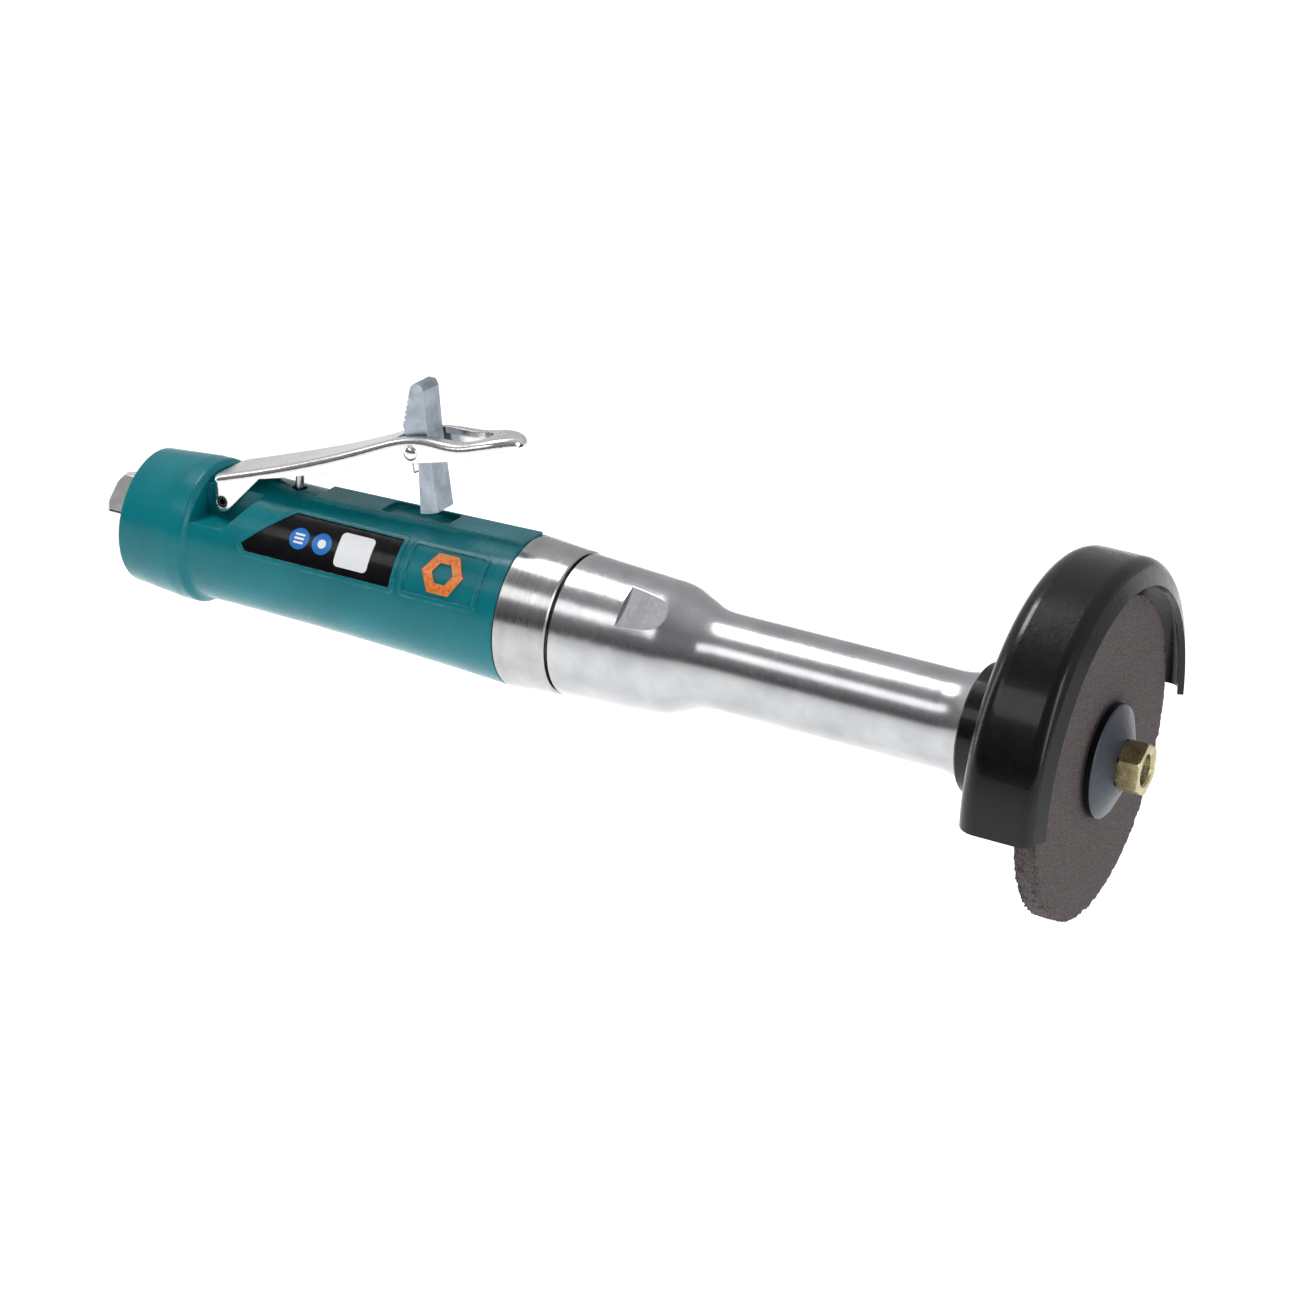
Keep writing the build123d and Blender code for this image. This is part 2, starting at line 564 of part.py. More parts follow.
with BuildPart() as rotor_blades:
    extrude(blade_slots(Plane.YZ.offset(CYLINDER_REAR + GAP), 1.5, 5.8, 12.5),
            amount=CYLINDER_FRONT - CYLINDER_REAR - 2 * GAP)
finish_part(rotor_blades, "rotor_blades")

# ---------------------------------------------------------------- extension and drive
FRONT_SEAT = 297.0                  # rear face of the front bearing's seat
SHOULDER_RADIUS = 22.9              # outside of the extension next to the lock ring
COLLAR_SEAT = 311.8                 # the guard's collar butts against the extension's flare
FLAT_PLANES = (49.5, 229.5)         # the wrench flats face these ways up from -Y

with BuildPart() as lock_ring:
    turn([(BODY_FRONT, TAIL_RADIUS), (BODY_FRONT, 24.2), (BODY_FRONT + 0.5, 24.7),
          (LOCK_RING_FRONT - 0.5, 23.4), (LOCK_RING_FRONT, 22.9), (LOCK_RING_FRONT, TAIL_RADIUS)])
finish_part(lock_ring, "lock_ring")

with BuildPart() as extension_housing:
    with BuildSketch(Plane.XZ) as extension_side:
        with BuildLine():
            shoulder = Bezier((EXTENSION_REAR, SHOULDER_RADIUS), (190, 22.0), (204.5, 21.3))
            brow = Bezier(shoulder @ 1, (208.5, 21.1), (211.0, 20.0))
            slope = Bezier(brow @ 1, (215, 18.3), (219.0, 16.6))
            foot = Bezier(slope @ 1, (221.6, TUBE_RADIUS), (227.0, TUBE_RADIUS))
            tube = Line(foot @ 1, (302, TUBE_RADIUS))
            flare = Spline(tube @ 1, (306.5, 16.0), (COLLAR_SEAT, 17.6), tangents=[(1, 0), (1, 0.4)])
            Polyline(flare @ 1, (COLLAR_SEAT, NOSE_RADIUS), (NOSE_FRONT, NOSE_RADIUS), (NOSE_FRONT, 0),
                     (TAIL_REAR, 0), (TAIL_REAR, TAIL_RADIUS), (EXTENSION_REAR - 0.6, TAIL_RADIUS),
                     (EXTENSION_REAR - 0.6, SHOULDER_RADIUS - 0.5), shoulder @ 0)
        make_face()
    revolve(axis=Axis.X)
    for angle in FLAT_PLANES:
        with BuildSketch(side_plane(angle, 20.4)) as flat:
            with Locations((204.5, 0)):
                Rectangle(19, 18)
        extrude(flat.sketch, amount=6, mode=Mode.SUBTRACT)
    turn([(TAIL_REAR, 0), (TAIL_REAR, 12.5), (175, 12.5), (175, 11), (183, 11), (183, 9.5), (186, 9.5),
          (188, 11.5), (294, 11.5), (FRONT_SEAT, 10.5), (FRONT_SEAT, 13), (NOSE_FRONT, 13),
          (NOSE_FRONT, 0)], Mode.SUBTRACT)
finish_part(extension_housing, "extension_housing")

with BuildPart() as coupling:
    turn_ring(150.5, 166.5, 0, 7.5)
    hex_prism(150.5, 166.5, 7.0, mode=Mode.SUBTRACT)
    chamfer(coupling.edges().filter_by(GeomType.CIRCLE), length=0.6)
finish_part(coupling, "coupling")

with BuildPart() as spindle:
    hex_prism(158, 166.5, 7.0)
    turn([(166.5, 0), (166.5, 4), (183.5, 4), (183.5, 5.5), (296.5, 5.5), (296.5, 5), (305.3, 5),
          (305.3, 6.5), (339, 6.5), (339, ARBOR_RADIUS), (363.2, ARBOR_RADIUS), (363.9, 4.0),
          (363.9, 1.4), (362.4, 0)])
finish_part(spindle, "spindle")

with BuildPart() as spindle_seal:
    turn_ring(306, 309.5, 6.5 + FIT, 13)
finish_part(spindle_seal, "spindle_seal")

with BuildPart() as retaining_ring:
    turn_ring(309.8, 311.0, 10.5, 13)
    with BuildSketch(Plane.YZ.offset(309)) as ring_gap:
        with Locations((0, -12)):
            Rectangle(5, 4)
    extrude(ring_gap.sketch, amount=4, mode=Mode.SUBTRACT)
finish_part(retaining_ring, "retaining_ring")

# ---------------------------------------------------------------- ball bearings
# name: (rear face x, bore radius, outer radius, width, number of balls)
BEARINGS = {
    "rotor_rear": (84.4, 3.0, 9.5, 6.0, 7),
    "rotor_front": (138.3, 4.0, 11.0, 7.0, 7),
    "spindle_rear": (175.6, 4.0, 11.0, 7.0, 7),
    "spindle_front": (FRONT_SEAT, 5.0, 13.0, 8.0, 8),
}
RUNNING = 0.04                      # between the balls and the races

for name, (rear, inner, outer, width, ball_count) in BEARINGS.items():
    pitch = (inner + outer) / 2
    height = outer - inner
    ball = 0.29 * height
    middle = rear + width / 2
    for race, low, high in (("inner", inner, inner + 0.33 * height), ("outer", outer - 0.33 * height, outer)):
        with BuildPart() as race_ring:
            with BuildSketch(Plane.XZ) as race_section:
                with Locations((middle, (low + high) / 2)):
                    Rectangle(width, high - low)
                with Locations((middle, pitch)):
                    Circle(ball + RUNNING, mode=Mode.SUBTRACT)
            revolve(race_section.sketch, axis=Axis.X)
        finish_part(race_ring, f"{name}_bearing_{race}_ring")
    with BuildPart() as balls:
        with Locations(Plane.YZ.offset(middle)):
            with PolarLocations(pitch, ball_count):
                Sphere(ball)
    finish_part(balls, f"{name}_bearing_balls")
    with BuildPart() as cage:
        turn_ring(middle - 1.3 * ball, middle + 1.3 * ball, pitch - 0.12 * height, pitch + 0.12 * height)
        with Locations(Plane.YZ.offset(middle)):
            with PolarLocations(pitch, ball_count):
                Cylinder(ball + RUNNING, height, rotation=(0, 90, 0), mode=Mode.SUBTRACT)
    finish_part(cage, f"{name}_bearing_cage")

# ---------------------------------------------------------------- guard and wheel
FLANGE_RADIUS = 17.8
BLOTTER = 0.6
GUARD_FAR_ANGLE = 3.0               # the guard starts this far above +Y
GUARD_SPAN = 182.0
NUT_ACROSS_FLATS = 14.8
NUT_REAR, NUT_FRONT = 359.0, 365.9

with BuildPart() as guard_collar:
    turn([(COLLAR_SEAT, NOSE_RADIUS), (COLLAR_SEAT, 19.9), (COLLAR_SEAT + 0.6, 20.5), (GUARD_REAR, 20.5),
          (GUARD_REAR, NOSE_RADIUS)])
finish_part(guard_collar, "guard_collar")

with BuildPart() as guard:
    with BuildSketch(Plane.XZ) as guard_sheet:
        with BuildLine():
            FilletPolyline((GUARD_REAR + 1, NOSE_RADIUS), (GUARD_REAR + 1, GUARD_RADIUS - 1),
                           (352.8, GUARD_RADIUS - 1), (355.6, 54.0), radius=[5.5, 3.5])
        trace(line_width=SHEET)
    revolve(guard_sheet.sketch.rotate(Axis.X, GUARD_FAR_ANGLE - 90), axis=Axis.X, revolution_arc=GUARD_SPAN)
    bore(325, 340, NOSE_RADIUS)
finish_part(guard, "guard")

with BuildPart() as guard_lock_ring:
    turn_ring(GUARD_REAR + SHEET, NOSE_FRONT, NOSE_RADIUS, 20.5)
    for turned in range(4):
        with BuildSketch(Plane.YZ.offset(GUARD_REAR)) as wrench_slot:
            with PolarLocations(20.5, 1, start_angle=90 * turned):
                Rectangle(4, 4)
        extrude(wrench_slot.sketch, amount=10, mode=Mode.SUBTRACT)
finish_part(guard_lock_ring, "guard_lock_ring")

WHEEL_REAR = WHEEL_FRONT - WHEEL_THICKNESS

with BuildPart() as inner_flange:
    turn([(339, ARBOR_RADIUS), (339, 12), (340.8, FLANGE_RADIUS), (WHEEL_REAR - BLOTTER, FLANGE_RADIUS),
          (WHEEL_REAR - BLOTTER, ARBOR_RADIUS)])
finish_part(inner_flange, "inner_flange")

with BuildPart() as blotters:
    turn_ring(WHEEL_REAR - BLOTTER, WHEEL_REAR, ARBOR_RADIUS, FLANGE_RADIUS)
    turn_ring(WHEEL_FRONT, WHEEL_FRONT + BLOTTER, ARBOR_RADIUS, FLANGE_RADIUS)
finish_part(blotters, "blotters")

with BuildPart() as cutoff_wheel:
    turn_ring(WHEEL_REAR, WHEEL_FRONT, ARBOR_RADIUS, WHEEL_RADIUS)
finish_part(cutoff_wheel, "cutoff_wheel")

with BuildPart() as outer_flange:
    turn([(WHEEL_FRONT + BLOTTER, ARBOR_RADIUS), (WHEEL_FRONT + BLOTTER, FLANGE_RADIUS),
          (354.7, FLANGE_RADIUS), (355.1, 17.4), (358.8, 9.0), (NUT_REAR, 8.4), (NUT_REAR, ARBOR_RADIUS)])
finish_part(outer_flange, "outer_flange")

with BuildPart() as spindle_nut:
    hex_prism(NUT_REAR, NUT_FRONT, NUT_ACROSS_FLATS, turned=30)
    round_corners(NUT_REAR, NUT_FRONT, 7.9, 8.0, 8.6, 0.7)
    bore(NUT_REAR - 1, NUT_FRONT + 1, ARBOR_RADIUS)
    mouth = spindle_nut.edges().filter_by(GeomType.CIRCLE).group_by(Axis.X)[-1]
    chamfer(mouth.sort_by(SortBy.RADIUS)[0], length=0.7)
finish_part(spindle_nut, "spindle_nut")
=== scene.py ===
import json
import math

import bpy
from mathutils import Matrix, Vector, noise


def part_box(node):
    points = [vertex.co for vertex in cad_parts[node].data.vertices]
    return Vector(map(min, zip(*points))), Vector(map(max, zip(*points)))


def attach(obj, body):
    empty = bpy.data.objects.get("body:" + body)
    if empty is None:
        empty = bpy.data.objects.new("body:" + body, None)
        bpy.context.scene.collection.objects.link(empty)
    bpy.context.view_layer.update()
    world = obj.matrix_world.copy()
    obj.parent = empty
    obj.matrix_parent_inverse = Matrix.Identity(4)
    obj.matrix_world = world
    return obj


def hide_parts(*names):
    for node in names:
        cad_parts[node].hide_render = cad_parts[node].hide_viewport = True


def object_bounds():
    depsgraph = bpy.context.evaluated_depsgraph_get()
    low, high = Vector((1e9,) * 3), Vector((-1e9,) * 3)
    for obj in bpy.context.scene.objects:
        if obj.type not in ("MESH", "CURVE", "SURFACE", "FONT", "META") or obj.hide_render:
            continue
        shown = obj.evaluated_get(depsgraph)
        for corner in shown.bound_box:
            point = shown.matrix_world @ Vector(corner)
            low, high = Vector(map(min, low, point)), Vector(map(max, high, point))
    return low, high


# Looks of the extended die grinder. Metres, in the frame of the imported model:
# +X runs from the air inlet to the wheel, +Z is up through the lever, -Y is the side with the label.
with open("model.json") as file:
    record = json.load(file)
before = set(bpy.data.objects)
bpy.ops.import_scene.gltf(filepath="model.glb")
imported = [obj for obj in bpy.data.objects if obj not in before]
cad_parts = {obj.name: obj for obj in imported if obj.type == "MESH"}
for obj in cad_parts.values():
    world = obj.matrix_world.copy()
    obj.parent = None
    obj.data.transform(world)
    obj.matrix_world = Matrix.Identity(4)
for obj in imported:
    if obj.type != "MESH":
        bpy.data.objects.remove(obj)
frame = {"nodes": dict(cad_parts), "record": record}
cad_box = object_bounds()

MM = 0.001

# ---------------------------------------------------------------- driving dimensions
ARBOR_RADIUS = 4.76 * MM            # 3/8 inch spindle thread
INLET_THREAD_RADIUS = 5.8 * MM      # 1/4 inch pipe thread, 18 turns to the inch
INLET_THREAD_PITCH = 25.4 / 18 * MM
INLET_THREAD_START = 1.2 * MM       # clear of the inlet's mouth
INLET_THREAD_LENGTH = 12.5 * MM
INLET_THREAD_HEIGHT = 0.7 * MM
LABEL_ANGLE = math.radians(35.0)    # the label and the emblem face this far up from -Y
DISC_PLACE = 0.36                   # the first printed disc, as a share of the label's length
DISC_SPACING = 8.6 * MM
DISC_RADIUS = 3.6 * MM
PANEL_OFFSET = 12.2 * MM            # from the second disc to the middle of the blank panel
PANEL_SIZE = (12.6 * MM, 11.6 * MM)
PANEL_CORNER = 1.6 * MM
PRINT_BLUR = 0.03 * MM
GRAIN_STEP = 0.55 * MM              # mesh spacing on the abrasive wheel
WHEEL_SEGMENTS = 620
THREAD_SEGMENTS = 72                # mesh steps in one turn of a thread
FLOOR_DROP = 0.30                   # floor below the tool's axis
FLOOR_REACH = 12.0                  # from its middle to each side
FLOOR_GLOW = 0.62                   # keeps the floor pale where no lamp reaches

CAMERA_AIM = Vector((0.1985, 0.0, -0.0028))
CAMERA_AZIMUTH = math.radians(26.435)       # round from -Y towards +X
CAMERA_ELEVATION = math.radians(22.663)
CAMERA_ROLL = math.radians(3.72)
CAMERA_DISTANCE = 1.2605
CAMERA_LENS = 110.77                # millimetres, like the sensor's width
CAMERA_SENSOR = 36.0

# Brightness of the tent round the tool's axis: the share of half a turn up from the front horizon, then the
# value there. Below the horizon it keeps the first value, and the floor hides it.
TENT_BANDS = ((0.0, 0.06), (0.05, 0.08), (0.1, 0.2), (0.2, 0.28), (0.3, 0.25), (0.4, 0.4), (0.5, 0.6),
              (0.62, 0.7), (0.8, 0.55), (1.0, 0.55))
TENT_COOLNESS = 1.02                # blue over red and green

# name, direction from the tool, distance, width, height (metres) and power in watts
LAMPS = (
    ("overhead", (-0.41, 0.1, 0.9), 1.3, 0.5, 0.32, 7),
    ("front", (-0.3, -0.7, 0.64), 1.8, 1.2, 0.5, 4),
    ("wheel_side", (0.9, -0.3, 0.36), 1.4, 0.3, 1.0, 4),
    ("inlet_side", (-0.97, -0.1, 0.25), 1.4, 0.3, 1.0, 3),
)


def srgb(red, green, blue):
    """Linear colour, with alpha, from display values of 0 to 255."""
    linear = [((part / 255 + 0.055) / 1.055) ** 2.4 if part > 10 else part / 255 / 12.92
              for part in (red, green, blue)]
    return (*linear, 1.0)


# ---------------------------------------------------------------- material graph
SOCKETS = {
    "anisotropic": "Anisotropic",
    "anisotropic_rotation": "Anisotropic Rotation",
    "coat_roughness": "Coat Roughness",
    "coat_weight": "Coat Weight",
    "metallic": "Metallic",
    "roughness": "Roughness",
    "sheen_weight": "Sheen Weight",
    "specular_ior_level": "Specular IOR Level",
}


class Graph:
    """A material's node tree, with a short call for each kind of node used here."""

    def __init__(self, name, **surface):
        self.material = bpy.data.materials.new(name)
        self.material.use_nodes = True
        self.tree = self.material.node_tree
        self.surface = self.tree.nodes["Principled BSDF"]
        self.place = self.node("ShaderNodeTexCoord").outputs["Object"]
        for socket, value in surface.items():
            self.surface.inputs[SOCKETS[socket]].default_value = value

    def node(self, kind, **settings):
        made = self.tree.nodes.new(kind)
        for key, value in settings.items():
            setattr(made, key, value)
        return made

    def feed(self, socket, value):
        """Put a number, a colour or another node's output into a socket."""
        if isinstance(value, bpy.types.NodeSocket):
            self.tree.links.new(value, socket)
        else:
            socket.default_value = value

    def stretched(self, scale):
        mapping = self.node("ShaderNodeMapping")
        self.feed(mapping.inputs["Vector"], self.place)
        mapping.inputs["Scale"].default_value = scale
        return mapping.outputs["Vector"]

    def noise(self, size, detail=3.0, roughness=0.55, stretch=(1, 1, 1)):
        """Cloudy value with lumps of about this size in millimetres; a stretch above 1 shortens them."""
        made = self.node("ShaderNodeTexNoise")
        self.feed(made.inputs["Vector"], self.stretched(stretch))
        made.inputs["Scale"].default_value = 1 / (size * MM)
        made.inputs["Detail"].default_value = detail
        made.inputs["Roughness"].default_value = roughness
        return made.outputs["Fac"]

    def cells(self, size, feature="F1"):
        """Cell pattern with cells of about this size in millimetres."""
        made = self.node("ShaderNodeTexVoronoi", feature=feature)
        self.feed(made.inputs["Vector"], self.place)
        made.inputs["Scale"].default_value = 1 / (size * MM)
        return made.outputs["Distance"]

    def math(self, operation, first, second=0.0):
        made = self.node("ShaderNodeMath", operation=operation)
        self.feed(made.inputs[0], first)
        self.feed(made.inputs[1], second)
        return made.outputs[0]

    def spread(self, value, low, high, to_low=0.0, to_high=1.0):
        """Map a value's range onto another, held at both ends."""
        made = self.node("ShaderNodeMapRange", clamp=True)
        for socket, part in zip(made.inputs[:5], (value, low, high, to_low, to_high)):
            self.feed(socket, part)
        return made.outputs[0]

    def blend(self, factor, first, second):
        """Between two values."""
        made = self.node("ShaderNodeMix", data_type="FLOAT")
        self.feed(made.inputs[0], factor)
        self.feed(made.inputs[2], first)
        self.feed(made.inputs[3], second)
        return made.outputs[0]

    def mix(self, factor, first, second):
        """Between two colours."""
        made = self.node("ShaderNodeMix", data_type="RGBA")
        self.feed(made.inputs[0], factor)
        self.feed(made.inputs[6], first)
        self.feed(made.inputs[7], second)
        return made.outputs[2]

    def parts(self, vector):
        """The three parts of a vector."""
        made = self.node("ShaderNodeSeparateXYZ")
        self.feed(made.inputs[0], vector)
        return made.outputs

    def normal_parts(self):
        return self.parts(self.node("ShaderNodeTexCoord").outputs["Normal"])

    def edges(self, radius):
        """0 on open surfaces, rising to 1 within this many millimetres of an edge."""
        rounded = self.node("ShaderNodeBevel", samples=4)
        rounded.inputs["Radius"].default_value = radius * MM
        alike = self.node("ShaderNodeVectorMath", operation="DOT_PRODUCT")
        self.feed(alike.inputs[0], rounded.outputs["Normal"])
        self.feed(alike.inputs[1], self.node("ShaderNodeNewGeometry").outputs["Normal"])
        return self.spread(alike.outputs["Value"], 0.995, 0.85)

    def disc(self, along, across, centre, radius):
        """1 inside a printed disc, centred across the label."""
        run = self.math("SUBTRACT", along, centre)
        reach = self.math("SQRT", self.math("ADD", self.math("MULTIPLY", run, run),
                                            self.math("MULTIPLY", across, across)))
        return self.spread(reach, radius + PRINT_BLUR, radius - PRINT_BLUR)

    def panel(self, along, across, centre, width, height, corner, rise=0.0):
        """1 inside a printed rectangle with round corners, raised across the label."""
        sides = []
        for value, middle, size in ((along, centre, width), (across, rise, height)):
            off = self.math("ABSOLUTE", self.math("SUBTRACT", value, middle))
            sides.append(self.math("MAXIMUM", self.math("SUBTRACT", off, size / 2 - corner), 0.0))
        reach = self.math("SQRT", self.math("ADD", self.math("MULTIPLY", sides[0], sides[0]),
                                            self.math("MULTIPLY", sides[1], sides[1])))
        return self.spread(reach, corner + PRINT_BLUR, corner - PRINT_BLUR)

    def relief(self, height, depth, soften=0.0):
        """Bump of this depth in millimetres, on edges that look rounded by the soften radius."""
        bump = self.node("ShaderNodeBump")
        bump.inputs["Distance"].default_value = depth * MM
        self.feed(bump.inputs["Height"], height)
        if soften:
            rounded = self.node("ShaderNodeBevel", samples=6)
            rounded.inputs["Radius"].default_value = soften * MM
            self.feed(bump.inputs["Normal"], rounded.outputs["Normal"])
        self.feed(self.surface.inputs["Normal"], bump.outputs["Normal"])

    def colour(self, value):
        self.feed(self.surface.inputs["Base Color"], value)

    def roughness(self, value):
        self.feed(self.surface.inputs["Roughness"], value)


# ---------------------------------------------------------------- painted and printed finishes
def teal_paint():
    """Thick glossy enamel on a casting: orange peel, pooled tone and a painted highlight of paler teal on
    the edges.
    """
    graph = Graph("teal_paint", coat_weight=0.12, coat_roughness=0.12, specular_ior_level=0.18)
    tone = graph.spread(graph.noise(26, detail=2), 0.35, 0.65)
    paint = graph.mix(tone, srgb(0, 108, 118), srgb(2, 120, 129))
    # Paler teal along the edges is a painted highlight: it stands in for light caught on the rounded edges.
    painted_edge_highlight = graph.math("MULTIPLY", graph.edges(0.5), graph.spread(graph.noise(3.0, detail=5), 0.48, 0.62))
    graph.colour(graph.mix(graph.math("MULTIPLY", painted_edge_highlight, 0.55), paint, srgb(120, 176, 178)))
    graph.roughness(graph.spread(graph.noise(7), 0.3, 0.7, 0.2, 0.34))
    swell = graph.math("MULTIPLY", graph.noise(9, detail=1), 2.0)
    peel = graph.math("ADD", graph.noise(1.6, detail=2), swell)
    graph.relief(peel, 0.035, soften=0.9)
    return graph.material


def label_black():
    """Glossy printed foil without lettering: two blue discs with white shapes, and a blank white panel."""
    graph = Graph("label_black", coat_weight=0.15, coat_roughness=0.05, specular_ior_level=0.2)
    low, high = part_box("nameplate")
    along = graph.parts(graph.place)["X"]
    up = graph.node("ShaderNodeVectorMath", operation="DOT_PRODUCT")
    graph.feed(up.inputs[0], graph.place)
    up.inputs[1].default_value = (0.0, math.sin(LABEL_ANGLE), math.cos(LABEL_ANGLE))
    across = up.outputs["Value"]
    first = low.x + DISC_PLACE * (high.x - low.x)
    second = first + DISC_SPACING
    ground = graph.mix(graph.noise(12), srgb(4, 4, 6), srgb(12, 12, 15))
    blue = graph.mix(graph.noise(1.2, detail=4), srgb(28, 104, 184), srgb(48, 130, 208))
    white = graph.mix(graph.noise(3, detail=4), srgb(228, 230, 232), srgb(244, 245, 246))
    discs = graph.math("MAXIMUM", graph.disc(along, across, first, DISC_RADIUS),
                       graph.disc(along, across, second, DISC_RADIUS))
    shapes = graph.math("MAXIMUM", graph.disc(along, across, second, 0.42 * DISC_RADIUS),
                        graph.panel(along, across, second + PANEL_OFFSET, *PANEL_SIZE, PANEL_CORNER))
    for row in (-1, 0, 1):
        bar = graph.panel(along, across, first, DISC_RADIUS, 0.2 * DISC_RADIUS, 0.05 * DISC_RADIUS,
                          rise=0.38 * row * DISC_RADIUS)
        shapes = graph.math("MAXIMUM", shapes, bar)
    graph.colour(graph.mix(shapes, graph.mix(discs, ground, blue), white))
    haze = graph.spread(graph.noise(5, detail=6), 0.35, 0.7, 0.12, 0.3)
    hairlines = graph.spread(graph.noise(0.5, stretch=(0.05, 1, 1)), 0.62, 0.7)
    graph.roughness(graph.math("ADD", haze, graph.math("MULTIPLY", hairlines, 0.12)))
    graph.relief(hairlines, 0.004, soften=0.12)
    return graph.material


def emblem_orange():
    """Orange enamel brushed into a cast emblem, mottled and a little ragged."""
    graph = Graph("emblem_orange", coat_weight=0.4, coat_roughness=0.12)
    mottle = graph.spread(graph.noise(1.3, detail=6, roughness=0.7), 0.38, 0.62)
    enamel = graph.mix(mottle, srgb(214, 88, 18), srgb(240, 146, 52))
    bare = graph.spread(graph.noise(0.6, detail=4), 0.66, 0.72)
    graph.colour(graph.mix(graph.math("MULTIPLY", bare, 0.6), enamel, srgb(244, 214, 170)))
    graph.roughness(graph.spread(mottle, 0, 1, 0.25, 0.45))
    graph.relief(mottle, 0.06, soften=0.25)
    return graph.material


def black_coat():
    """Semi-gloss black powder coat: pebbled skin, rubbed a little brighter on the edges."""
    graph = Graph("black_coat", coat_weight=0.35, coat_roughness=0.12, specular_ior_level=0.15)
    worn = graph.math("MULTIPLY", graph.edges(0.35), graph.spread(graph.noise(1.6, detail=5), 0.5, 0.62))
    coat = graph.mix(graph.noise(15), srgb(4, 4, 5), srgb(9, 9, 10))
    graph.colour(graph.mix(graph.math("MULTIPLY", worn, 0.5), coat, srgb(120, 122, 126)))
    graph.roughness(graph.spread(graph.noise(4, detail=4), 0.3, 0.7, 0.22, 0.36))
    pebble = graph.math("ADD", graph.noise(0.7, detail=2), graph.noise(1.9, detail=1))
    graph.relief(pebble, 0.045, soften=0.3)
    return graph.material


# ---------------------------------------------------------------- metal finishes
def nickel():
    """Polished nickel plate, brushed to a satin where it faces up, with faint handling marks."""
    graph = Graph("nickel", metallic=1.0)
    facing_up = graph.spread(graph.normal_parts()["Z"], 0.55, 0.9)
    graph.colour(graph.mix(graph.noise(9, detail=4), srgb(214, 214, 214), srgb(236, 235, 232)))
    satin = graph.spread(graph.noise(0.25, stretch=(0.08, 1, 1)), 0.3, 0.7, 0.2, 0.36)
    polished = graph.spread(graph.noise(3, detail=5), 0.35, 0.75, 0.08, 0.2)
    graph.roughness(graph.blend(facing_up, polished, satin))
    graph.relief(graph.noise(0.22, stretch=(0.1, 1, 1)), 0.006, soften=0.35)
    return graph.material


def grained_metal(name, dark, light, roughness, grain=0.4, depth=0.01, stretch=(1, 1, 1), soften=0.15,
                  patch=6.0, metallic=1.0):
    """Metal with clouded tone, grain of one size and direction, and edges rubbed brighter."""
    graph = Graph(name, metallic=metallic)
    tone = graph.spread(graph.noise(patch, detail=5), 0.32, 0.68)
    rubbed = graph.math("MULTIPLY", graph.edges(soften + 0.1), 0.45)
    graph.colour(graph.mix(rubbed, graph.mix(tone, dark, light), srgb(225, 226, 228)))
    fine = graph.noise(grain, detail=4, stretch=stretch)
    graph.roughness(graph.spread(fine, 0.3, 0.7, *roughness))
    graph.relief(fine, depth, soften=soften)
    return graph.material


def turned_metal(name, dark, light, roughness, line=0.3, depth=0.006, soften=0.15):
    """Metal turned on a lathe: fine rings of changing depth round the tool's axis."""
    graph = Graph(name, metallic=1.0, anisotropic=0.5, anisotropic_rotation=0.25)
    rings = graph.noise(line, detail=4, roughness=0.7, stretch=(1, 0.004, 0.004))
    broad = graph.noise(line * 9, detail=3, stretch=(1, 0.004, 0.004))
    cloud = graph.spread(graph.noise(8, detail=5), 0.3, 0.7)
    graph.colour(graph.mix(graph.math("MULTIPLY", graph.math("ADD", cloud, broad), 0.5), dark, light))
    graph.roughness(graph.spread(rings, 0.3, 0.7, *roughness))
    graph.relief(rings, depth, soften=soften)
    around = graph.node("ShaderNodeTangent", direction_type="RADIAL", axis="X")
    graph.feed(graph.surface.inputs["Tangent"], around.outputs["Tangent"])
    return graph.material


def blue_oxide():
    """Blued flange: turned rings on the face and a dark, chipped rim."""
    graph = Graph("blue_oxide", metallic=0.85)
    rim = graph.spread(graph.math("ABSOLUTE", graph.normal_parts()["X"]), 0.6, 0.3)
    rings = graph.noise(0.5, detail=3, stretch=(0.1, 1, 1))
    face = graph.mix(rings, srgb(52, 55, 62), srgb(80, 84, 92))
    graph.colour(graph.mix(rim, face, srgb(30, 30, 33)))
    graph.roughness(graph.spread(graph.noise(2.2, detail=5), 0.3, 0.7, 0.3, 0.46))
    graph.relief(graph.math("ADD", rings, graph.math("MULTIPLY", rim, graph.noise(0.8))), 0.03, soften=0.15)
    return graph.material


def yellow_zinc():
    """Yellow chromate on a steel nut, drifting between straw, olive and a little rose."""
    graph = Graph("yellow_zinc", metallic=1.0)
    drift = graph.spread(graph.noise(4.5, detail=3), 0.35, 0.65)
    straw = graph.mix(drift, srgb(150, 140, 104), srgb(196, 184, 140))
    rose = graph.spread(graph.noise(3.1, detail=2), 0.6, 0.7)
    graph.colour(graph.mix(graph.math("MULTIPLY", rose, 0.35), straw, srgb(176, 142, 128)))
    graph.roughness(graph.spread(graph.noise(0.8, detail=4), 0.3, 0.7, 0.2, 0.38))
    graph.relief(graph.noise(0.35), 0.008, soften=0.25)
    return graph.material


